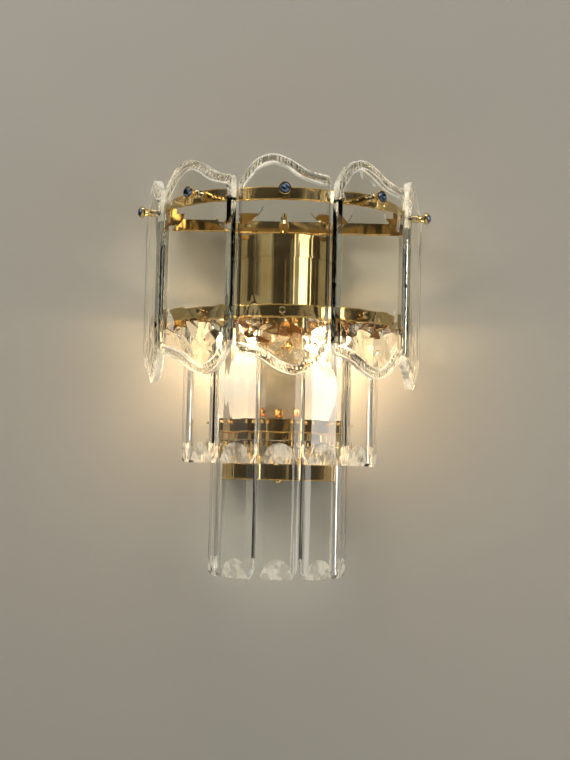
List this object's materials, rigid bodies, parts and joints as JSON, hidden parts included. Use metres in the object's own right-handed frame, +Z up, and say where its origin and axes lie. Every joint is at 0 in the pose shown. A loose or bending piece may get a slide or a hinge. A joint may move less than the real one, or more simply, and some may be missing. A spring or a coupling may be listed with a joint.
{
  "type": "crystal wall sconce",
  "caption": "Wall light with waved crystal plates on studs round a half ring, hanging flat crystal bars below and candle bulbs inside.",
  "frame": {"origin": "middle of the wall: the point of the mounting strap's back face that lies on the wall, half way up the pan", "axes": "+Y into the wall, the lamp stands out towards -Y; +X to the viewer's right; +Z up"},
  "size_m": [0.2942, 0.1708, 0.4],
  "materials": {
    "gold": "polished",
    "pan_steel": "polished",
    "gold_wire": "polished",
    "copper": "polished",
    "brass": "satin",
    "zinc_steel": "zinc plated",
    "white_plastic": "satin",
    "black_rubber": "matt",
    "lead_sleeve": "matt",
    "blue_glass": "polished",
    "crystal": "polished",
    "nickel": "polished",
    "bulb_glass": "clear",
    "lamp_core": "lit"
  },
  "bodies": {
    "frame": {"wall_pan": "pan_steel", "cap_nuts": "gold", "frame_screws": "gold", "upper_ring": "gold", "upper_back_bar": "gold", "lower_ring": "gold", "lower_back_bar": "gold", "hanger_ledge": "gold", "lower_hanger_ring": "gold", "upper_drum": "gold", "upper_drum_cap": "gold", "drum_arms": "gold", "finial": "gold", "lower_drum": "gold", "lamp_carrier": "gold", "carrier_bolt": "gold", "stud_rods": "gold", "stud_spacers": "gold", "stud_collars": "gold", "plate_bumpers": "gold", "carrier_nut": "copper", "mounting_strap": "zinc_steel", "earth_screw": "brass", "terminal_block": "white_plastic", "lampholders": "white_plastic", "cable_grommet": "black_rubber", "lamp_leads": "lead_sleeve", "stud_caps": "blue_glass", "crystal_plate_1": "crystal", "crystal_plate_2": "crystal", "crystal_plate_3": "crystal", "crystal_plate_4": "crystal", "crystal_plate_5": "crystal", "bulb_caps": "nickel", "bulb_globes": "bulb_glass", "bulb_filaments": "lamp_core"},
    "mid_hanger_1": {"mid_bar_1": "crystal", "mid_pins_1": "gold_wire"},
    "mid_hanger_2": {"mid_bar_2": "crystal", "mid_pins_2": "gold_wire"},
    "mid_hanger_3": {"mid_bar_3": "crystal", "mid_pins_3": "gold_wire"},
    "mid_hanger_4": {"mid_bar_4": "crystal", "mid_pins_4": "gold_wire"},
    "mid_hanger_5": {"mid_bar_5": "crystal", "mid_pins_5": "gold_wire"},
    "mid_hanger_6": {"mid_bar_6": "crystal", "mid_pins_6": "gold_wire"},
    "mid_hanger_7": {"mid_bar_7": "crystal", "mid_pins_7": "gold_wire"},
    "low_hanger_1": {"low_bar_1": "crystal", "low_pins_1": "gold_wire"},
    "low_hanger_2": {"low_bar_2": "crystal", "low_pins_2": "gold_wire"},
    "low_hanger_3": {"low_bar_3": "crystal", "low_pins_3": "gold_wire"},
    "low_hanger_4": {"low_bar_4": "crystal", "low_pins_4": "gold_wire"},
    "low_hanger_5": {"low_bar_5": "crystal", "low_pins_5": "gold_wire"}
  },
  "joints": [
    {"name": "mid_swing_1", "type": "hinge", "parent": "frame", "child": "mid_hanger_1", "pos_m": [-0.0914, -0.04194, 0.03582], "axis": [-0.2334, 0.9724, 0], "range_deg": [-0.5, 12]},
    {"name": "mid_swing_2", "type": "hinge", "parent": "frame", "child": "mid_hanger_2", "pos_m": [-0.07305, -0.07916, 0.03582], "axis": [-0.6293, 0.7771, 0], "range_deg": [-0.5, 12]},
    {"name": "mid_swing_3", "type": "hinge", "parent": "frame", "child": "mid_hanger_3", "pos_m": [-0.04047, -0.10484, 0.03582], "axis": [-0.9026, 0.4305, 0], "range_deg": [-0.5, 12]},
    {"name": "mid_swing_4", "type": "hinge", "parent": "frame", "child": "mid_hanger_4", "pos_m": [0, -0.114, 0.03582], "axis": [-1, 0, 0], "range_deg": [-0.5, 12]},
    {"name": "mid_swing_5", "type": "hinge", "parent": "frame", "child": "mid_hanger_5", "pos_m": [0.04047, -0.10484, 0.03582], "axis": [-0.9026, -0.4305, 0], "range_deg": [-0.5, 12]},
    {"name": "mid_swing_6", "type": "hinge", "parent": "frame", "child": "mid_hanger_6", "pos_m": [0.07305, -0.07916, 0.03582], "axis": [-0.6293, -0.7771, 0], "range_deg": [-0.5, 12]},
    {"name": "mid_swing_7", "type": "hinge", "parent": "frame", "child": "mid_hanger_7", "pos_m": [0.0914, -0.04194, 0.03582], "axis": [-0.2334, -0.9724, 0], "range_deg": [-0.5, 12]},
    {"name": "low_swing_1", "type": "hinge", "parent": "frame", "child": "low_hanger_1", "pos_m": [-0.06166, -0.03619, -0.074], "axis": [-0.254, 0.9672, 0], "range_deg": [-0.25, 10]},
    {"name": "low_swing_2", "type": "hinge", "parent": "frame", "child": "low_hanger_2", "pos_m": [-0.03893, -0.07048, -0.074], "axis": [-0.7918, 0.6107, 0], "range_deg": [-0.25, 10]},
    {"name": "low_swing_3", "type": "hinge", "parent": "frame", "child": "low_hanger_3", "pos_m": [0, -0.08375, -0.074], "axis": [-1, 0, 0], "range_deg": [-0.25, 10]},
    {"name": "low_swing_4", "type": "hinge", "parent": "frame", "child": "low_hanger_4", "pos_m": [0.03893, -0.07048, -0.074], "axis": [-0.7918, -0.6107, 0], "range_deg": [-0.25, 10]},
    {"name": "low_swing_5", "type": "hinge", "parent": "frame", "child": "low_hanger_5", "pos_m": [0.06166, -0.03619, -0.074], "axis": [-0.254, -0.9672, 0], "range_deg": [-0.25, 10]}
  ]
}
